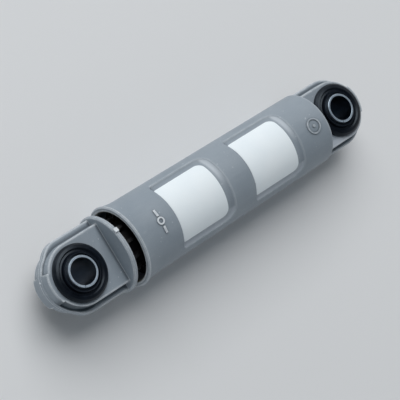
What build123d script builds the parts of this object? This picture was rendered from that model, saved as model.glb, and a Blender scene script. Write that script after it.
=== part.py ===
from build123d import *
import os

# Friction damper that steadies the tub of a washing machine, drawn nearly closed.
# It lies along X with both eye bores along Z, the housing's eye at the origin and
# the plunger's eye at x = eye_spacing. All sizes are in millimetres.

# The whole damper
eye_spacing = 178.0        # between the two bore axes, as drawn
disc_gap = 5.8             # between the disc and the mouth, as drawn
slip = 0.05                # radial clearance of what slides or turns
seat_gap = 0.02            # radial clearance of what is pressed or stuck in place
stop_clear = 0.3           # left at the stops at either end of the stroke
overrun = 2.0              # by which a cutter passes the face that it opens

# Bush: rolled steel sleeve in a rubber ring with a lip on each side of the eye
sleeve_bore_r = 6.5
sleeve_wall = 1.2
sleeve_stands = 4.5        # by which the sleeve stands out of the eye
sleeve_edge = 0.25
sleeve_slit = 0.3          # butt joint of the rolled strip
slit_angle = 64.0          # where that joint faces, from +X towards +Y
rubber_wall = 5.05
lip_width = 1.25           # by which the lip covers the eye
lip_edge = 1.6             # height of the lip's outer edge above the eye
lip_round = 0.3
hump_height = 2.5
hump_span = (3.9, 5.3)     # from the sleeve outwards
groove_height = 1.7
groove_span = (2.3, 3.2)
ridge_height = 3.2
ridge_span = (1.1, 1.8)
dish_height = 2.4
dish_width = 0.7

# Eye: round boss with a flat flange round its middle and a solid nose at the tip
eye_wall = 3.4             # round the rubber, at its middle plane
eye_half = 8.0             # half its height
eye_edge = 0.6             # rounding of its rims
eye_draft = 3.0            # degrees by which its walls lean in from the middle plane
flange_half = 2.5          # half its thickness
flange_tip_width = 1.0     # beyond the boss at the tip
housing_flange_inset = 1.0     # its sides lie this far inside the tube's
plunger_flange_inset = 1.2     # its sides lie this far inside the disc's rim
housing_flange_run = 17.6      # from the bore's axis to where its sides run out
plunger_flange_run = 14.0
nose_width = 0.8           # beyond the boss
nose_half = 8.0            # half its length across the tip
end_clear = 2.85           # between the rubber's lip and the closed end
disc_clear = 6.95          # between the rubber's lip and the disc

# Plunger: hollow shaft, disc with gussets behind it, and its eye
shaft_r = 13.0
shaft_lead = 1.0
shaft_wall = 1.5           # under the groove of the glide ring
core_end_wall = 4.5
disc_thickness = 2.5
disc_inset = 1.2           # its rim lies this far inside the collar's
disc_edge = 0.6
gusset_count = 12
gusset_thickness = 1.8
gusset_gap = 2.6           # to the wall of the mouth
gusset_end_gap = 1.0       # to the cage with the plunger home
gusset_lead = 2.0
gusset_angle = -3.0        # of the first one, from +Z towards +Y
stub_size = (2.0, 2.2, 0.8)    # gate stub on the disc's rim
stub_angle = -24.0

# Glide ring: split ring near the shaft's inner end, and the stop at full length
ring_width = 6.0
ring_depth = 1.5           # of its groove in the shaft
ring_lip = 4.6             # of the shaft, behind the ring
ring_slit = 1.5
ring_edge = 0.5

# Friction lining, and the guide cage that holds it in the mouth
lining_thickness = 2.6
lining_end_gap = 0.3
lining_slit = 1.0
cage_wall = 1.28
cage_length = 21.0         # in its seat
cage_flange = 2.4
cage_inner_lip = 2.0
cage_outer_lip = 3.8
cage_lead = 1.0
window_count = 6
window_w = 7.0
window_margin = 1.6        # to the snap bead and to the cage's inner end
snap_x = 7.0               # middle of the snap bead, from the cage's flange
snap_half = 0.9
snap_height = 0.35

# Housing: tapered tube, closed at the eye, flared at its open mouth
bore_step = 0.6            # between the bore and the cage's wider seat
mouth_step = 1.6           # between that seat and the mouth
mouth_depth = 11.0
mouth_edge = 0.7
end_wall = 4.0
end_edge = 0.8
pocket_wall = 1.46         # between the seat and a pocket's floor
pocket_depth = 0.94        # at the closed end
tube_taper = 0.6           # growth of the radius up to the flare
collar_flare = 1.5
collar_length = 10.5

# Shallow pockets on both sides of the housing, two in a row
pocket_inset = 24.7        # from the mouth to the first
pocket_rib = 14.5          # between the two
pocket_end_inset = 21.3    # from the second to the closed end
pocket_half_angle = 60.0
pocket_corner = 7.0
pocket_mouth_corner = 3.0  # the two corners on the side of the mouth
pocket_foot = 2.5          # rounding where wall meets floor, but not on the side of the mouth
pocket_rim = 0.5           # rounding of the rim

# Blank labels in the upper pockets
label_thickness = 0.15
label_inset = 0.7          # from the pocket's wall on the side of the mouth
label_end_inset = 4.5      # from the pocket's other end
label_side_margin = 10.0   # degrees between label and pocket wall
label_corner = 4.0         # the two corners away from the mouth
label_corner_small = 1.0

# Raised moulding marks, free of any letters
mark_height = 0.45
mark_root = 0.5            # how deep a mark reaches into the wall
mark_inset = 15.7          # from the mouth to the bars
mark_bar = (3.5, 1.2)
mark_bar_y = (-5.2, 3.7)
mark_ring_y = -0.9
mark_ring_r = 2.0
date_ring_inset = 9.6      # from the closed end
date_ring_r = 4.2
mark_line = 0.8

# Rubber buffer at the bottom of the housing
buffer_gap = 2.4           # to the bore's wall
buffer_thickness = 2.7
buffer_hole_r = 3.0
buffer_edge = 0.6

# Sizes that follow from those above: the eyes
sleeve_r = sleeve_bore_r + sleeve_wall
sleeve_half = eye_half + sleeve_stands
rubber_inner_r = sleeve_r + slip
rubber_core_r = sleeve_r + slip + rubber_wall
lip_r = rubber_core_r + lip_width
eye_r = rubber_core_r + eye_wall
flange_tip = eye_r + flange_tip_width
nose_r = eye_r + nose_width

# The radii, from the shaft outwards
core_r = shaft_r - ring_depth - shaft_wall
cage_inner_r = shaft_r + 3 * slip
lining_inner_r = shaft_r + slip
lining_outer_r = lining_inner_r + lining_thickness
lining_pocket_r = lining_outer_r + slip
cage_r = lining_pocket_r + cage_wall
seat_r = cage_r + seat_gap
bore_r = seat_r - bore_step
mouth_r = seat_r + mouth_step
pocket_floor_r = seat_r + pocket_wall
tube_r_end = pocket_floor_r + pocket_depth
tube_r_collar = tube_r_end + tube_taper
collar_r = tube_r_collar + collar_flare
disc_r = collar_r - disc_inset
gusset_r = mouth_r - gusset_gap

# The places along X, from the two eyes inwards
end_x = lip_r + end_clear
bore_end_x = end_x + end_wall
disc_face_x = eye_spacing - lip_r - disc_clear
disc_x = disc_face_x - disc_thickness
mouth_x = disc_x - disc_gap
flare_x = mouth_x - collar_length
cage_flange_x = mouth_x - mouth_depth
cage_x = cage_flange_x - cage_length
snap_middle_x = cage_flange_x - snap_x
gusset_length = mouth_depth - cage_flange - gusset_end_gap
buffer_face_x = bore_end_x + buffer_thickness
stroke_in = disc_gap - stop_clear
shaft_end_x = buffer_face_x + stop_clear + stroke_in
ring_x = shaft_end_x + ring_lip
ring_front_x = ring_x + ring_width
pocket_length = (mouth_x - pocket_inset - pocket_rib - pocket_end_inset - end_x) / 2
pocket_spans = [(high - pocket_length, high)
                for high in (mouth_x - pocket_inset, end_x + pocket_end_inset + pocket_length)]


def axis_distance(point):
    """Distance of a point from the damper's long axis."""
    return (point.Y ** 2 + point.Z ** 2) ** 0.5


def turned(points, axis=Axis.X):
    """Solid of revolution: points are (along, radius) pairs on the given axis."""
    if axis == Axis.X:
        corners = [(along, 0, radius) for along, radius in points]
    else:
        corners = [(radius, 0, along) for along, radius in points]
    return revolve(make_face(Polyline(*corners, close=True)), axis)


def swept_shell(x_low, x_high, r_low, r_high, half_angle):
    """Part of a tube's wall round X, centred on +Z."""
    corners = [(x_low, 0, r_low), (x_high, 0, r_low), (x_high, 0, r_high), (x_low, 0, r_high)]
    sector = revolve(make_face(Polyline(*corners, close=True)), Axis.X, 2 * half_angle)
    side = -1 if sector.center(CenterOf.MASS).Y < 0 else 1
    return Rot(side * half_angle, 0, 0) * sector


def corner_edges(shell):
    """Edges that run outwards at the four corners of a swept shell."""
    lines = shell.edges().filter_by(GeomType.LINE)
    return lines.filter_by(lambda edge: abs(edge.tangent_at(0.5).X) < 0.95)


def plate(outline, half, draft=0):
    """Plate on both sides of the middle plane z = 0, with rounded rims."""
    upper = extrude(outline, amount=half, taper=draft)
    upper = fillet(upper.faces().sort_by(Axis.Z)[-1].edges(), eye_edge)
    return upper + mirror(upper, Plane.XY)


def eye(reach, flange_w, flange_run):
    """Eye round the Z axis: nose at -X, joined to something at x = reach, bore still to cut."""
    nose = Circle(nose_r) & Pos(-nose_r / 2, 0) * Rectangle(nose_r, 2 * nose_half)
    boss = Circle(eye_r) + Pos(reach / 2, 0) * Rectangle(reach, 2 * eye_r)
    flange = Ellipse(flange_run, flange_w) + Circle(flange_tip)
    flange += Pos(reach / 2, 0) * Rectangle(reach, 2 * flange_w)
    return plate(boss, eye_half, eye_draft) + plate(nose, eye_half, eye_draft) + plate(flange, flange_half)


def eye_bore():
    """Hole for the rubber ring, through the whole eye."""
    return Cylinder(rubber_core_r + seat_gap, 2 * (eye_half + overrun))


def tube():
    """Outside of the housing's tube with its flared collar and rounded edges."""
    outline = [
        Line((end_x, 0, 0), (end_x, 0, tube_r_end - end_edge)),
        Line((end_x, 0, tube_r_end - end_edge), (end_x + end_edge, 0, tube_r_end)),
        Line((end_x + end_edge, 0, tube_r_end), (flare_x, 0, tube_r_collar)),
        TangentArc((flare_x, 0, tube_r_collar), (mouth_x - mouth_edge, 0, collar_r), tangent=(1, 0, 0)),
        Line((mouth_x - mouth_edge, 0, collar_r), (mouth_x, 0, collar_r - mouth_edge)),
        Line((mouth_x, 0, collar_r - mouth_edge), (mouth_x, 0, 0)),
        Line((mouth_x, 0, 0), (end_x, 0, 0)),
    ]
    return revolve(make_face(outline), Axis.X)


def tube_bore():
    """Inside of the housing: bore, seat of the cage with its snap groove, mouth."""
    low, high = snap_middle_x - snap_half, snap_middle_x + snap_half
    groove_r = seat_r + snap_height + slip
    return turned([
        (bore_end_x, 0), (bore_end_x, bore_r), (cage_x, bore_r), (cage_x, seat_r),
        (low - snap_height, seat_r), (low, groove_r), (high, groove_r), (high + snap_height, seat_r),
        (cage_flange_x, seat_r), (cage_flange_x, mouth_r),
        (mouth_x - mouth_edge, mouth_r), (mouth_x, mouth_r + mouth_edge), (mouth_x, 0)])


def pocket(span):
    """Cutter for one shallow pocket: soft foot on three sides, steep wall towards the mouth."""
    low_x, high_x = span
    top_r = tube_r_collar + overrun
    trough = swept_shell(low_x, high_x + 2 * pocket_foot, pocket_floor_r, top_r, pocket_half_angle)
    trough = fillet(corner_edges(trough).sort_by(Axis.X)[:2], pocket_corner)
    floor = trough.faces().filter_by(GeomType.CYLINDER).sort_by(lambda face: axis_distance(face.center()))[0]
    trough = fillet(floor.edges(), pocket_foot)
    limit = swept_shell(low_x - overrun, high_x, pocket_floor_r - overrun, top_r + overrun, pocket_half_angle)
    return trough & fillet(corner_edges(limit).sort_by(Axis.X)[-2:], pocket_mouth_corner)


def pocket_rims(body):
    """Edges where the pockets run out into the outside of the tube."""
    def on_rim(edge):
        box = edge.bounding_box()
        inside = any(low - 0.5 < box.min.X and box.max.X < high + 0.5 for low, high in pocket_spans)
        return inside and axis_distance(edge.position_at(0.5)) > (tube_r_end + pocket_floor_r) / 2
    return body.edges().filter_by(on_rim)


def marks():
    """Bars and rings that stand a little proud of the tube's upper side."""
    mark_x, date_ring_x = mouth_x - mark_inset, end_x + date_ring_inset
    shapes = Sketch()
    for y in mark_bar_y:
        shapes += Pos(mark_x, y) * Rectangle(mark_bar[1], mark_bar[0])
    for x, y, r in ((mark_x, mark_ring_y, mark_ring_r), (date_ring_x, 0, date_ring_r)):
        shapes += Pos(x, y) * (Circle(r) - Circle(r - mark_line))
    shapes += Pos(date_ring_x, 0) * Circle(mark_line)
    upright = extrude(shapes, amount=tube_r_collar + overrun)
    slope = tube_taper / (flare_x - end_x)
    skin = [(x, tube_r_end + slope * (x - end_x) + lift)
            for x, lift in ((bore_end_x, -mark_root), (bore_end_x, mark_height),
                            (flare_x, mark_height), (flare_x, -mark_root))]
    return upright & turned(skin)


def housing():
    """Closed tube and eye, moulded in one piece."""
    body = tube() + eye(end_x + end_wall / 2, tube_r_end - housing_flange_inset, housing_flange_run)
    for side in (0, 180):
        for span in pocket_spans:
            body -= Rot(side, 0, 0) * pocket(span)
    body = fillet(pocket_rims(body), pocket_rim)
    return body + marks() - tube_bore() - eye_bore()


def guide_cage():
    """Ring with a flange, a snap bead, an inner recess and windows in its wall."""
    low_x, face_x = cage_x + stop_clear, cage_flange_x + cage_flange
    flange_r = mouth_r - 2 * slip
    shell = turned([
        (low_x, cage_inner_r), (low_x, cage_r), (snap_middle_x - snap_half, cage_r),
        (snap_middle_x, cage_r + snap_height), (snap_middle_x + snap_half, cage_r),
        (cage_flange_x, cage_r), (cage_flange_x, flange_r), (face_x, flange_r),
        (face_x, cage_inner_r + cage_lead), (face_x - cage_lead, cage_inner_r),
        (face_x - cage_outer_lip, cage_inner_r), (face_x - cage_outer_lip, lining_pocket_r),
        (cage_x + cage_inner_lip, lining_pocket_r), (cage_x + cage_inner_lip, cage_inner_r)])
    low = cage_x + cage_inner_lip + window_margin
    high = snap_middle_x - snap_half - window_margin
    middle_r = (cage_r + lining_pocket_r) / 2
    window = Pos((low + high) / 2, 0, middle_r) * Box(high - low, window_w, cage_wall + 2 * overrun)
    for i in range(window_count):
        shell -= Rot(i * 360 / window_count, 0, 0) * window
    return shell


def friction_lining():
    """Strip of foam wound round the shaft, with its butt joint underneath."""
    low = cage_x + cage_inner_lip + lining_end_gap
    high = cage_flange_x + cage_flange - cage_outer_lip - lining_end_gap
    ring = turned([(low, lining_inner_r), (low, lining_outer_r),
                   (high, lining_outer_r), (high, lining_inner_r)])
    middle_r = (lining_inner_r + lining_outer_r) / 2
    joint = Box(high - low + overrun, lining_slit, lining_thickness + overrun)
    return ring - Pos((low + high) / 2, 0, -middle_r) * joint


def end_buffer():
    """Rubber washer on the bottom of the housing."""
    outer_r = bore_r - buffer_gap
    return turned([(bore_end_x, buffer_hole_r), (bore_end_x, outer_r), (buffer_face_x - buffer_edge, outer_r),
                   (buffer_face_x, outer_r - buffer_edge), (buffer_face_x, buffer_hole_r)])


def gussets():
    """Radial ribs that stiffen the disc from behind."""
    root_r, root_x = shaft_r - shaft_wall, disc_x + disc_thickness / 2
    tip_x = disc_x - gusset_length
    outline = Polyline((root_x, 0, root_r), (tip_x, 0, root_r), (tip_x, 0, gusset_r - gusset_lead),
                       (tip_x + gusset_lead, 0, gusset_r), (root_x, 0, gusset_r), close=True)
    rib = extrude(make_face(outline), amount=gusset_thickness / 2, both=True)
    ribs = Part()
    for i in range(gusset_count):
        ribs += Rot(-gusset_angle + i * 360 / gusset_count, 0, 0) * rib
    return ribs


def plunger():
    """Hollow shaft, disc, gussets and eye, moulded in one piece."""
    groove_r, groove_x = shaft_r - ring_depth, ring_x - slip
    shaft = turned([
        (shaft_end_x, 0), (shaft_end_x, shaft_r - shaft_lead), (shaft_end_x + shaft_lead, shaft_r),
        (groove_x, shaft_r), (groove_x, groove_r), (ring_front_x + slip, groove_r),
        (ring_front_x + slip, shaft_r), (disc_x, shaft_r), (disc_x, disc_r - disc_edge),
        (disc_x + disc_edge, disc_r), (disc_face_x - disc_edge, disc_r),
        (disc_face_x, disc_r - disc_edge), (disc_face_x, 0)])
    reach = eye_spacing - disc_face_x + disc_thickness / 2
    head = eye(reach, disc_r - plunger_flange_inset, plunger_flange_run) - eye_bore()
    head = Pos(eye_spacing, 0, 0) * Rot(0, 0, 180) * head
    along, across, height = stub_size
    stub = Pos(disc_x + disc_thickness / 2, 0, disc_r) * Box(along, across, 2 * height)
    core = turned([(shaft_end_x - overrun, 0), (shaft_end_x - overrun, core_r),
                   (disc_x - core_end_wall, core_r), (disc_x - core_end_wall, 0)])
    return shaft + gussets() + Rot(-stub_angle, 0, 0) * stub + head - core


def glide_ring():
    """Split ring in the groove near the shaft's inner end."""
    inner_r, outer_r = shaft_r - ring_depth + slip, bore_r - slip
    ring = turned([(ring_x, inner_r), (ring_x, outer_r - ring_edge), (ring_x + ring_edge, outer_r),
                   (ring_front_x - ring_edge, outer_r), (ring_front_x, outer_r - ring_edge),
                   (ring_front_x, inner_r)])
    slit = Box(ring_width + overrun, ring_slit, outer_r - inner_r + overrun)
    return ring - Pos(ring_x + ring_width / 2, 0, (inner_r + outer_r) / 2) * slit


def bush_rubber():
    """Rubber ring with a lip, a hump, a groove and an inner ridge on both faces."""
    rings = [(0, dish_height), (dish_width, dish_height)]
    for span, height in ((ridge_span, ridge_height), (groove_span, groove_height), (hump_span, hump_height)):
        rings += [(width, height) for width in span]
    upper = [(eye_half + height, rubber_inner_r + width) for width, height in rings]
    upper += [(eye_half + lip_edge + lip_round, lip_r - lip_round), (eye_half + lip_edge, lip_r),
              (eye_half, lip_r), (eye_half, rubber_core_r)]
    lower = [(-along, radius) for along, radius in reversed(upper)]
    return turned(upper + lower, Axis.Z)


def bush_sleeve():
    """Steel strip rolled to a tube, with its butt joint left open a hair."""
    wall = Cylinder(sleeve_r, 2 * sleeve_half) - Cylinder(sleeve_bore_r, 2 * sleeve_half)
    wall = chamfer(wall.edges().filter_by(GeomType.CIRCLE), sleeve_edge)
    slit = Box(sleeve_wall + overrun, sleeve_slit, 2 * (sleeve_half + overrun))
    return wall - Rot(0, 0, slit_angle) * Pos((sleeve_bore_r + sleeve_r) / 2, 0, 0) * slit


def label(span):
    """Thin blank label that wraps the floor of a pocket."""
    low_x, high_x = span[0] + label_end_inset, span[1] - label_inset
    low_r, high_r = pocket_floor_r + seat_gap, pocket_floor_r + seat_gap + label_thickness
    half_angle = pocket_half_angle - label_side_margin
    block = swept_shell(low_x, high_x, low_r - overrun, high_r + overrun, half_angle)
    for end, radius in ((slice(0, 2), label_corner), (slice(-2, None), label_corner_small)):
        block = fillet(corner_edges(block).sort_by(Axis.X)[end], radius)
    skin = turned([(low_x, low_r), (low_x, high_r), (high_x, high_r), (high_x, low_r)])
    return block & skin


def save(name, shape):
    """One STEP file per piece."""
    export_step(shape, f"parts/{name}.step")


os.makedirs("parts", exist_ok=True)
at_plunger_eye = Pos(eye_spacing, 0, 0)
save("housing", housing())
save("guide_cage", guide_cage())
save("friction_lining", friction_lining())
save("end_buffer", end_buffer())
save("plunger", plunger())
save("glide_ring", glide_ring())
save("housing_bush_rubber", bush_rubber())
save("housing_bush_sleeve", bush_sleeve())
save("plunger_bush_rubber", at_plunger_eye * bush_rubber())
save("plunger_bush_sleeve", at_plunger_eye * bush_sleeve())
save("front_label", label(pocket_spans[0]))
save("rear_label", label(pocket_spans[1]))
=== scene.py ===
import math

import bmesh
import bpy
from mathutils import Matrix, Vector, noise


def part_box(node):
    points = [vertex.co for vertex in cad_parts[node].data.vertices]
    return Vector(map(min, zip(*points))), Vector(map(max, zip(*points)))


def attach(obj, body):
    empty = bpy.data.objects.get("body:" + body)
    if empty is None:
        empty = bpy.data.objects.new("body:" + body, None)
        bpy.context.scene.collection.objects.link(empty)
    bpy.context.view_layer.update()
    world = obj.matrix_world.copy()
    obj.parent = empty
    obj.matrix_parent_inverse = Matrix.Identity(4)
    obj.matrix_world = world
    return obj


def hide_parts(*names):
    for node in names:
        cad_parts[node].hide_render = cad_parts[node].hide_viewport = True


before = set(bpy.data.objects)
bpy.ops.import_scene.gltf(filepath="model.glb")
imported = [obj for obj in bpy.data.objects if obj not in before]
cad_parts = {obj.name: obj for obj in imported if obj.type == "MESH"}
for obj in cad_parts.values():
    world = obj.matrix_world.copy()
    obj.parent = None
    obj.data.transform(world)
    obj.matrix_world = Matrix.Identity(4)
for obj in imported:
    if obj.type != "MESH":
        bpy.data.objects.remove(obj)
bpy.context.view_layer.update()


# Housing: long tapered tube, closed at its eye and flared at its open mouth. It is moulded
# in one shot of grey glass-filled nylon, in a mould that parted on the mid plane and left
# a hair of flash there. Its outer edges carry a painted highlight, and its inner corners
# a painted shade.
eye_spacing, eye_tip_r = 0.178, 0.0172           # the housing's eye is at x = 0
closed_end_x, closed_end_r = 0.0177, 0.0194
mouth_x, collar_r, rim_r, oily_r = 0.148, 0.0215, 0.0203, 0.0192
tube_r_at_eye, tube_taper = 0.01932, 0.00495     # radius at x = 0, and its growth along X
tube_profile = ((closed_end_x, closed_end_r), (0.06, 0.01961), (0.1, 0.01981), (0.1382, 0.02),
                (0.1415, 0.02017), (0.1448, 0.02067), (0.1479, 0.02147))
flash_width, flash_height, flash_root = 0.00036, 0.00008, 0.00005
date_ring_end_x, collar_x = 0.045, 0.138
pocket_eye_sides, pocket_mouth_sides = (0.0398, 0.0899), (0.07385, 0.124)
# Where the upper side begins, where the painted light on the strip below the labels begins, and
# where a cove's painted highlight ends.
upper_z, strip_y, cove_end_y = (0.004, 0.006), (0.0118, 0.0132), (-0.010, 0.004)

nylon_dark, nylon_pale = (0.24, 0.285, 0.33, 1), (0.295, 0.34, 0.385, 1)
nylon_scuffed, nylon_fleck = (0.42, 0.46, 0.49, 1), (0.62, 0.66, 0.70, 1)
painted_edge_highlight, painted_glint = (0.66, 0.70, 0.73, 1), (0.80, 0.84, 0.88, 1)
painted_strip_light, painted_cove_highlight = (0.50, 0.54, 0.60, 1), (0.62, 0.67, 0.72, 1)
nylon_thin, nylon_torn = (0.50, 0.54, 0.57, 1), (0.74, 0.77, 0.80, 1)
painted_corner_shade, thin_oil = (0.045, 0.06, 0.075, 1), (0.16, 0.14, 0.06, 1)


class Wire:
    """A socket of one material, or of the room; arithmetic on it adds Math nodes."""

    def __init__(self, tree, socket=None):
        self.tree, self.socket = tree, socket

    def node(self, kind, settings=(), sockets=(), out=0):
        """Adds a node: first its settings, then the values or links of its sockets."""
        made = self.tree.nodes.new("ShaderNode" + kind)
        for name, value in dict(settings).items():
            setattr(made, name, value)
        for name, value in dict(sockets).items():
            if isinstance(value, Wire):
                self.tree.links.new(value.socket, made.inputs[name])
            else:
                made.inputs[name].default_value = value
        return Wire(self.tree, made.outputs[out]) if len(made.outputs) else None

    def math(self, operation, *others):
        """This value, or this value and the others, through one Math node."""
        return self.node("Math", {"operation": operation}, enumerate((self, *others)))

    def __add__(self, other):
        return self.math("ADD", other)

    def __sub__(self, other):
        return self.math("SUBTRACT", other)

    def __rsub__(self, other):
        return self.node("Math", {"operation": "SUBTRACT"}, {0: other, 1: self})

    def __mul__(self, other):
        return self.math("MULTIPLY", other)

    __radd__, __rmul__ = __add__, __mul__

    def off(self, *marks):
        """How far this value lies from the nearest of these marks."""
        nearest, *others = [(self - mark).math("ABSOLUTE") for mark in marks]
        for gap in others:
            nearest = nearest.math("MINIMUM", gap)
        return nearest

    def across(self, other):
        """Length of the diagonal over this value and another."""
        return (self * self + other * other).math("SQRT")

    def step(self, low, high):
        """0 below low, 1 above high, and smooth in between."""
        return self.node("MapRange", {"interpolation_type": "SMOOTHSTEP"},
                         {"Value": self, "From Min": low, "From Max": high})

    def mix(self, low, high):
        """Colour low where this value is 0 and high where it is 1."""
        return self.node("Mix", {"data_type": "RGBA"}, {0: self, 6: low, 7: high}, out=2)

    def parts(self, axes="XYZ"):
        """The parts of this place along these axes, in metres."""
        return [self.node("SeparateXYZ", {}, {"Vector": self}, out=axis) for axis in axes]

    def grain(self, size, stretch=(1, 1, 1), detail=2, seed=0):
        """Noise on this place, with blotches of that size in metres."""
        scaled = self.node("Mapping", {}, {"Vector": self, "Location": (seed, seed / 2, 0),
                                           "Scale": [way / size for way in stretch]})
        return scaled.node("TexNoise", {}, {"Vector": scaled, "Scale": 1, "Detail": detail})

    def corners(self, reach, outer=True):
        """1 on the outer edges of a piece, or else in its inner corners; 0 a reach away."""
        open_share = self.node("AmbientOcclusion",
                               {"inside": outer, "only_local": True, "samples": 8},
                               {"Distance": reach}, out="AO")
        return (1 - open_share).step(0.02, 0.3)

    def relief(self, distance, strength=1):
        """Normal of a surface raised by this height times distance, in metres."""
        return self.node("Bump", {}, {"Height": self, "Distance": distance, "Strength": strength})


def material_of(name, build, **sockets):
    """Material whose varying sockets come from build(place), with the place in metres."""
    made = bpy.data.materials.new(name)
    made.use_nodes = True
    made.node_tree.nodes.clear()
    wire = Wire(made.node_tree)
    sockets.update(build(wire.node("TexCoord", out="Object")))
    shader = wire.node("BsdfPrincipled", {}, sockets)
    wire.node("OutputMaterial", {}, {"Surface": shader})
    return made


def dress(node, material):
    """Gives a node of the frame its finish."""
    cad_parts[node].data.materials.clear()
    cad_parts[node].data.materials.append(material)


def grey_moulding(place, highlight_and_fleck_where=1, corner_shade_where=1):
    """Nylon with its flow marks and fibres, painted highlight on outer edges, painted shade in
    inner corners.
    """
    cloud = place.grain(0.028, detail=3)
    flow = place.grain(0.006, (0.3, 1, 1), detail=3, seed=3)
    fibre = place.grain(0.00045, (0.35, 1, 1), seed=7)
    patch = place.grain(0.02, seed=11).step(0.56, 0.66)
    scuff = place.grain(0.0009, (0.06, 0.5, 1), detail=3, seed=5).step(0.6, 0.72) * patch
    fleck = place.grain(0.0014, detail=1, seed=23).step(0.74, 0.78) * highlight_and_fleck_where
    highlight_share = place.grain(0.004, detail=3, seed=13).step(0.3, 0.6) * 0.4 + 0.5
    # Painted shade: the inner corners are darkened.
    corner_shade = place.corners(0.0022, outer=False) * 0.7 * corner_shade_where
    # Painted highlight: the outer edges are made paler, in patches.
    rub = place.corners(0.0013) * highlight_and_fleck_where * highlight_share
    tone = cloud * 0.6 + flow * 0.25 + fibre * 0.15
    colour = tone.step(0.3, 0.7).mix(nylon_dark, nylon_pale)
    colour = (scuff * 0.3).mix(colour, nylon_scuffed)
    colour = (fleck * 0.6).mix(colour, nylon_fleck)
    colour = corner_shade.mix(colour, painted_corner_shade)
    colour = rub.mix(colour, painted_edge_highlight)
    height = fibre * 0.7 + flow * 0.2 + scuff * 0.4
    return {"Base Color": colour, "Roughness": 0.4 + cloud * 0.12 + flow * 0.08 + scuff * 0.2,
            "Normal": height.relief(0.00004, 0.5)}


def painted_light_moulding(place):
    """The same, with painted highlights on the raised marks, the mouth's rim and the pockets'
    floors, and painted light on the strip below the labels.
    """
    x, y, z = place.parts()
    radius = y.across(z)
    tube_r = x * tube_taper + tube_r_at_eye
    raised = radius - tube_r
    sunk = (tube_r - radius).step(0.0002, 0.0006) * z.step(*upper_z)
    # Painted light: the strip of pocket floor below the labels is made paler and keeps no corner
    # shade.
    painted_lit_strip = sunk * y.step(*strip_y)
    # Painted highlight: the pockets' floors by their ends towards the eye are made paler.
    cove_highlight = 1 - x.off(*pocket_eye_sides).step(0.0008, 0.0024)
    cove_highlight = cove_highlight * sunk * (1 - y.step(*cove_end_y))
    date_ring = raised.step(0.00005, 0.0002) * (date_ring_end_x - x).step(0, 0.002)
    # Painted highlight: the raised marks are made paler, less so on the date ring.
    marks = raised.step(0.0002, 0.00042) * (collar_x - x).step(0, 0.001)
    highlight_share = x.step(0.05, 0.09) * 0.35 + place.grain(0.004, seed=21).step(0.45, 0.6) * 0.25
    # Painted highlight: a pale line round the mouth's rim, in patches.
    rim = (x - mouth_x).step(-0.0004, 0.0004) * (rim_r - radius).step(0, 0.0005)
    rim_highlight_share = place.grain(0.003, detail=3, seed=17).step(0.3, 0.55) * 0.4 + 0.5
    oil = (x - mouth_x).step(-0.001, -0.0004) * (oily_r - radius).step(0, 0.0003)
    highlight_and_fleck_where = x.off(*pocket_mouth_sides).step(0.0008, 0.0016) * (1 - date_ring * 0.7)
    sockets = grey_moulding(place, highlight_and_fleck_where, 1 - painted_lit_strip)
    colour = (painted_lit_strip * 0.45).mix(sockets["Base Color"], painted_strip_light)
    colour = (cove_highlight * 0.6).mix(colour, painted_cove_highlight)
    colour = (marks * highlight_share).mix(colour, painted_glint)
    colour = (rim * rim_highlight_share).mix(colour, painted_edge_highlight)
    sockets["Base Color"] = (oil * 0.8).mix(colour, thin_oil)
    return sockets


def torn_moulding(place):
    """The same where it is thin or was torn off at a gate: pale and rough."""
    torn = place.grain(0.0003, detail=3, seed=19)
    sockets = grey_moulding(place)
    sockets["Base Color"] = torn.mix(nylon_thin, nylon_torn)
    sockets["Normal"] = torn.relief(0.00006)
    return sockets


torn_nylon = material_of("torn_nylon", torn_moulding, IOR=1.5)
dress("housing", material_of("grey_nylon_painted_light", painted_light_moulding, IOR=1.5))


def set_out(name, data):
    """Object of this mesh, lamp or camera, in the scene."""
    made = bpy.data.objects.new(name, data)
    bpy.context.scene.collection.objects.link(made)
    return made


def shaped(name, mesh, material, smooth=True):
    """Piece made of this bmesh, in that material."""
    data = bpy.data.meshes.new(name)
    mesh.to_mesh(data)
    mesh.free()
    for face in data.polygons:
        face.use_smooth = smooth
    data.materials.append(material)
    return set_out(name, data)


def skinned(name, loops, material, smooth=True):
    """Piece whose skin runs over a row of loops of points and closes both ends."""
    mesh = bmesh.new()
    loops = [[mesh.verts.new(point) for point in loop] for loop in loops]
    for one, two in zip(loops, loops[1:]):
        for i in range(len(one)):
            mesh.faces.new((one[i - 1], one[i], two[i], two[i - 1]))
    mesh.faces.new(loops[0])
    mesh.faces.new(loops[-1][::-1])
    bmesh.ops.recalc_face_normals(mesh, faces=mesh.faces)
    return shaped(name, mesh, material, smooth)


def flash_line(name, path, body):
    """Hair of flash along a path in the mid plane, given as points and their outward ways."""
    sides = 6
    loops = []
    for (x, y), (out_x, out_y) in path:
        loop = []
        for i in range(sides + 1):
            turn = math.pi * i / sides
            rise = flash_height * math.sin(turn) - (flash_root if i in (0, sides) else 0)
            loop.append((x + out_x * rise, y + out_y * rise, -flash_width / 2 * math.cos(turn)))
        loops.append(loop)
    made = skinned(name, loops, torn_nylon)
    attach(made, body)


def eye_path(middle_x, way, side, run):
    """Path round an eye whose tip points that way: the tip's circle or an oval of these
    half axes, whichever reaches farther, and a straight line behind on either side."""
    straight = 0.016
    path = []
    for angle in range(-90, 91, 5):
        along, across = math.cos(math.radians(angle)), math.sin(math.radians(angle))
        reach = max(eye_tip_r, run * side / math.hypot(side * along, run * across))
        path.append(((middle_x + way * reach * along, reach * across), (way * along, across)))
    first, last = [((middle_x - way * straight, end * side), (0, end)) for end in (-1, 1)]
    return [first] + path + [last]


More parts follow.
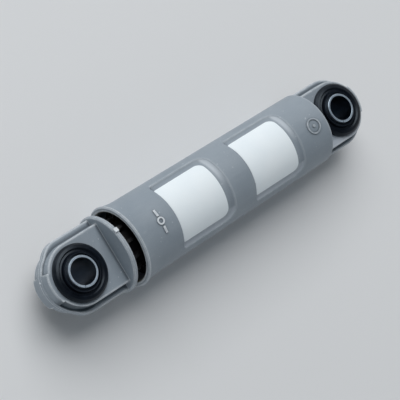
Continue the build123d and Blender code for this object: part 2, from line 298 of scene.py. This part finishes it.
flash_line("housing_eye_flash", eye_path(0, -1, side=0.0184, run=0.0176), "housing_body")
for side, word in ((-1, "left"), (1, "right")):
    tube_side = [((x, side * y), (0, side)) for x, y in tube_profile]
    flash_line("housing_side_flash_" + word, tube_side, "housing_body")


# Plunger: shaft, disc with gussets behind it, and the near eye, in the same nylon and in a
# mould that parted on the same plane. Behind the disc it is painted black as shade in the
# gap, and grease there makes it less rough. The disc's rim has a stub of its gate, and the
# eye's tip a torn nib.
disc_face_x, disc_back_x, disc_r = 0.157, 0.1545, 0.0203
shade_and_grease_full_r, shade_and_grease_end_r = 0.0155, 0.0205
groove_in_r, groove_out_r, groove_floor, groove_top = 0.0151, 0.0172, 0.0022, 0.0079
# Where the stub begins, and the painted shade in the groove.
stub_x, groove_shade_x, groove_shade_y = (0.153, 0.1535), (0.175, 0.179), (0.004, 0.008)
nib_r, nib_turn, nib_up = 0.0005, math.radians(-17.6), 0.0006

painted_corner_highlight, painted_groove_shade = (0.55, 0.58, 0.61, 1), (0.012, 0.03, 0.045, 1)
painted_gap_shade = (0.006, 0.006, 0.007, 1)


def plunger_painted_moulding(place):
    """The same, with painted shade and grease behind the disc, painted shade in the groove
    round the eye, and painted highlights on the gate's stub and at the disc's face.
    """
    x, y, z = place.parts()
    radius, from_eye = y.across(z), y.across(x - eye_spacing)
    on_disc = 1 - x.off(disc_face_x).step(0.00005, 0.00025)
    # Painted highlight: a pale line in the inner corners at the disc's face.
    disc_corner_highlight = place.corners(0.001, outer=False) * on_disc
    # Painted shade: behind the disc the shaft and gussets are painted black; the same mask lowers
    # the roughness for grease.
    ragged_edge = place.grain(0.002, detail=3, seed=2) * 0.003
    grease = 1 - (radius - ragged_edge).step(shade_and_grease_full_r, shade_and_grease_end_r)
    grease = grease * (disc_back_x - x).step(0, 0.0004)
    # Painted highlight: the gate's stub on the disc's rim is made paler.
    stub = (radius - disc_r).step(0.00005, 0.0002) * x.step(*stub_x)
    groove = (from_eye - groove_in_r).step(0, 0.0002) * (groove_out_r - from_eye).step(0, 0.0002)
    groove = groove * (z - groove_floor).step(0, 0.0004) * (groove_top - z).step(0, 0.0003)
    # Painted shade: the groove below the boss on the eye's lower side is darkened.
    groove_shade = groove * x.step(*groove_shade_x) * y.step(*groove_shade_y)
    sockets = grey_moulding(place, corner_shade_where=1 - on_disc)
    colour = (disc_corner_highlight * 0.5).mix(sockets["Base Color"], painted_corner_highlight)
    colour = grease.mix(colour, painted_gap_shade)
    colour = (stub * 0.4).mix(colour, painted_glint)
    sockets["Base Color"] = (groove_shade * 0.85).mix(colour, painted_groove_shade)
    sockets["Roughness"] = sockets["Roughness"] - grease * 0.15
    return sockets


dress("plunger", material_of("grey_nylon_painted_shade_and_grease", plunger_painted_moulding, IOR=1.5))
flash_line("plunger_eye_flash", eye_path(eye_spacing, 1, side=0.0191, run=0.014), "plunger_body")
nib_mesh = bmesh.new()
bmesh.ops.create_uvsphere(nib_mesh, u_segments=20, v_segments=12, radius=nib_r)
nib = shaped("gate_nib", nib_mesh, torn_nylon)
nib.location = (eye_spacing + eye_tip_r * math.cos(nib_turn),
                eye_tip_r * math.sin(nib_turn), nib_up)
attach(nib, "plunger_body")


# Bush rubbers: black rings pressed into both eyes until their lips snap over the rims.
# Natural rubber with carbon black, moulded under pressure; the faces keep the turned
# rings of the tool, and a little grey bloom has come to the surface.
turned_r, ring_pitch = 0.0102, 0.000849079
face_r, face_run, face_fall = 0.0098, 0.0032, 0.36
rubber_deep, rubber_worn = (0.0012, 0.0022, 0.005, 1), (0.003, 0.005, 0.010, 1)
rubber_bloom, rubber_sheen = (0.012, 0.017, 0.026, 1), (0.75, 0.88, 1, 1)


def from_nearer_eye(place):
    """Distance from the axis of the nearer eye."""
    x, y = place.parts("XY")
    return y.across(x.off(0, eye_spacing))


def black_rubber(place):
    """Rubber with pores and bloom, turned rings in the middle and a falling outer face."""
    radius = from_nearer_eye(place)
    cloud = place.grain(0.006, detail=4)
    pores = place.grain(0.0003, seed=4)
    bloom = place.grain(0.0025, detail=5, seed=9).step(0.5, 0.75)
    turned = (radius * (math.tau / ring_pitch)).math("SINE")
    turned = turned * (turned_r - radius).step(0, 0.0008) * 0.00002
    fall = (radius - face_r).math("MAXIMUM", 0).math("MINIMUM", face_run) * -face_fall
    colour = cloud.step(0.3, 0.7).mix(rubber_deep, rubber_worn)
    return {"Base Color": (bloom * 0.2).mix(colour, rubber_bloom),
            "Roughness": 0.28 + cloud * 0.1 + bloom * 0.12,
            "Normal": (pores * 0.00001 + turned + fall).relief(1)}


rubber = material_of("black_rubber", black_rubber,
                     **{"Specular IOR Level": 0.36, "Specular Tint": rubber_sheen})
for node in ("housing_bush_rubber", "plunger_bush_rubber", "end_buffer"):
    dress(node, rubber)


# Bush sleeves: strip steel rolled into a tube with its butt joint left open a hair, and
# plated with zinc. Rolling drew fine lines along the bore, and the cut ends are brighter.
sleeve_bore_r = 0.0065
zinc_dull, zinc_bright = (0.46, 0.55, 0.64, 1), (0.60, 0.69, 0.78, 1)
painted_bore_shade = (0.02, 0.035, 0.06, 1)


def plated_steel(place):
    """Zinc with its spangle and drawn lines, with painted shade that makes it nearly black inside
    the bore.
    """
    cloud = place.grain(0.004, detail=3)
    drawn = place.grain(0.0004, (1, 1, 0.04), detail=3, seed=2)
    spangle = place.grain(0.0012, detail=4, seed=6).step(0.35, 0.65)
    plated = (cloud * 0.5 + spangle * 0.5).mix(zinc_dull, zinc_bright)
    outside = (from_nearer_eye(place) - sleeve_bore_r).step(0.00005, 0.00015)
    return {"Base Color": outside.mix(painted_bore_shade, plated),
            "Roughness": 0.3 + cloud * 0.14 + drawn * 0.12,
            "Normal": drawn.relief(0.00002, 0.6)}


steel = material_of("zinc_plated_steel", plated_steel, Metallic=1.0)
for node in ("housing_bush_sleeve", "plunger_bush_sleeve"):
    dress(node, steel)


# Labels: blank white stickers in the upper pockets, die cut from coated paper and
# smoothed down on the curved floor by hand.
paper_dull, paper_white = (0.84, 0.91, 0.95, 1), (0.88, 0.94, 0.97, 1)


def coated_paper(place):
    """Paper whose fibres show faintly through a satin coat."""
    cloud = place.grain(0.012)
    fibre = place.grain(0.0004, detail=3, seed=8)
    tone = (cloud * 0.6 + fibre * 0.4).step(0.3, 0.7)
    return {"Base Color": tone.mix(paper_dull, paper_white),
            "Roughness": 0.5 + cloud * 0.08 + fibre * 0.04,
            "Normal": (fibre * 0.3 + cloud * 0.7).relief(0.00003, 0.35)}


paper = material_of("coated_label_paper", coated_paper, **{"Specular IOR Level": 0.25})
for node in ("front_label", "rear_label"):
    dress(node, paper)


# Guide cage: black acetal ring with a flange, snapped into the mouth. It guides the
# shaft and holds the lining; grease from the lining shows on it as a wet sheen.
acetal_deep, acetal_worn = (0.008, 0.009, 0.01, 1), (0.02, 0.021, 0.023, 1)


def black_acetal(place):
    """Acetal, smoother where grease has spread."""
    cloud = place.grain(0.005, detail=3)
    grease = place.grain(0.003, detail=4, seed=5).step(0.45, 0.6)
    return {"Base Color": cloud.mix(acetal_deep, acetal_worn), "Roughness": 0.48 - grease * 0.22,
            "Normal": cloud.relief(0.00005, 0.4)}


dress("guide_cage", material_of("greased_black_acetal", black_acetal))


# Friction lining: strip of open-cell polyurethane foam, soaked in damping grease and
# wound once round the shaft, with its two ends butted underneath. It isn't glued: the
# cage's lips keep it in place, and its outer skin bulges a little between them.
lining_low, lining_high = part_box("friction_lining")
shaft_side, cage_side = 0.01306, lining_high.y - 0.00004
joint_half, end_gap = 0.0006, 0.0002
cells_per_metre, pits_per_metre = 1500.0, 900
width_steps, round_steps = 18, 160
foam_soaked, foam_dry = (0.16, 0.12, 0.07, 1), (0.42, 0.34, 0.22, 1)


def greased_foam(place):
    """Foam with open cells, darker and wetter where it is soaked."""
    cells = place.node("TexVoronoi", {}, {"Vector": place, "Scale": cells_per_metre})
    soak = place.grain(0.004, detail=4)
    tone = cells.step(0.05, 0.5) * 0.6 + soak * 0.4
    return {"Base Color": tone.mix(foam_soaked, foam_dry),
            "Roughness": 0.55 - soak.step(0.45, 0.65) * 0.25,
            "Normal": cells.relief(0.0003, 0.8)}


def foam_point(share_x, turn, radius, skin):
    """A point of the foam, pitted by its cells where it is free to move."""
    x = lining_low.x + end_gap + share_x * (lining_high.x - lining_low.x - 2 * end_gap)
    point = Vector((x, radius * math.sin(turn), radius * math.cos(turn)))
    pit = noise.fractal(point * pits_per_metre, 1.0, 2.0, 3)
    flat = (2 * share_x - 1) ** 4
    radius -= skin * (0.00012 + 0.0001 * pit + 0.00025 * flat)
    return Vector((x, radius * math.sin(turn), radius * math.cos(turn)))


joint_turn = joint_half / shaft_side
shares = [i / width_steps for i in range(width_steps + 1)]
sections = []
for i in range(round_steps + 1):
    turn = math.pi + joint_turn + (math.tau - 2 * joint_turn) * i / round_steps
    sections.append([foam_point(share, turn, cage_side, 1) for share in shares]
                    + [foam_point(share, turn, shaft_side, 0) for share in reversed(shares)])
foam = material_of("greased_foam", greased_foam)
lining = skinned("lining_foam", sections, foam, smooth=False)
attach(lining, "housing_body")
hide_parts("friction_lining")


# Glide ring: split ring of natural white nylon, sprung into the shaft's inner groove. It
# runs in the housing's bore, and stops against the cage at full length.
ring_dull, ring_clean = (0.55, 0.54, 0.50, 1), (0.66, 0.65, 0.61, 1)
ring_rubbed = (0.3, 0.29, 0.27, 1)


def white_nylon(place):
    """Nylon with darker, rougher lines where it has run on the bore."""
    cloud = place.grain(0.004, detail=3)
    rub = place.grain(0.0006, (0.08, 1, 1), detail=3, seed=5).step(0.5, 0.7)
    colour = cloud.mix(ring_dull, ring_clean)
    return {"Base Color": (rub * 0.3).mix(colour, ring_rubbed), "Roughness": 0.4 + rub * 0.2,
            "Normal": (rub + cloud * 0.3).relief(0.00003, 0.4)}


dress("glide_ring", material_of("white_nylon", white_nylon))


# Table under the damper: plain pale card. It touches the tube at both ends of its
# underside, so it leans a little towards the closed end.
card_half = 3.0
card_grey, card_pale = (0.80, 0.81, 0.82, 1), (0.83, 0.84, 0.85, 1)


def pale_card(place):
    """Card with hardly any pattern."""
    tone = place.grain(0.3)
    return {"Base Color": tone.mix(card_grey, card_pale), "Roughness": 0.75 + tone * 0.1}


card_mesh = bmesh.new()
bmesh.ops.create_grid(card_mesh, x_segments=1, y_segments=1, size=card_half)
card = shaped("table_card", card_mesh, material_of("pale_card", pale_card), smooth=False)
card.location = (mouth_x, 0, -collar_r)
card.rotation_euler.y = math.atan2(collar_r - closed_end_r, mouth_x - closed_end_x)


# Soft studio light: one big soft box over the far side of the damper, and a room whose
# dark grey walls turn paler near the horizon, so that the card stays even.
wall_dark, wall_grey = (0.10, 0.11, 0.12, 1), (0.36, 0.39, 0.41, 1)
wall_pale = (0.70, 0.72, 0.74, 1)
key_way, key_distance = Vector((-0.05, -0.6, 0.8)), 2.7
key_lamp = bpy.data.lights.new("key_box", "AREA")
key_lamp.size, key_lamp.energy = 2.4, 60
key_box = set_out("key_box", key_lamp)
key_box.location = Vector((eye_spacing / 2, 0, 0)) + key_way.normalized() * key_distance
key_box.rotation_mode = "QUATERNION"
key_box.rotation_quaternion = key_way.to_track_quat("Z", "Y")
world = bpy.data.worlds.new("studio")
bpy.context.scene.world = world
world.use_nodes = True
world.node_tree.nodes.clear()
room = Wire(world.node_tree)
height = room.node("TexCoord", out="Generated").parts("Z")[0]
walls = height.step(0.35, 0.75).mix(wall_grey, wall_dark)
walls = height.step(0.08, 0.25).mix(wall_pale, walls)
glow = room.node("Background", {}, {"Color": walls, "Strength": 1.0})
room.node("OutputWorld", {}, {"Surface": glow})


# Camera: beyond the plunger's eye and above it, looking down along the damper. Its place
# and its three axes were fitted to the outlines in the photograph.
camera_place = Vector((0.553113, -0.032629, 0.711498))
right = Vector((-0.70993, 0.513912, 0.481554))
up = Vector((-0.451371, -0.856883, 0.249031))
back = Vector((0.540615, -0.040565, 0.840292))
camera = set_out("camera", bpy.data.cameras.new("camera"))
camera.matrix_world = (Matrix.Translation(camera_place)
                       @ Matrix((right, up, back)).transposed().to_4x4())
camera.data.lens, camera.data.sensor_width = 154.772, 36
bpy.context.scene.camera = camera
bpy.context.scene.view_settings.view_transform = "Standard"
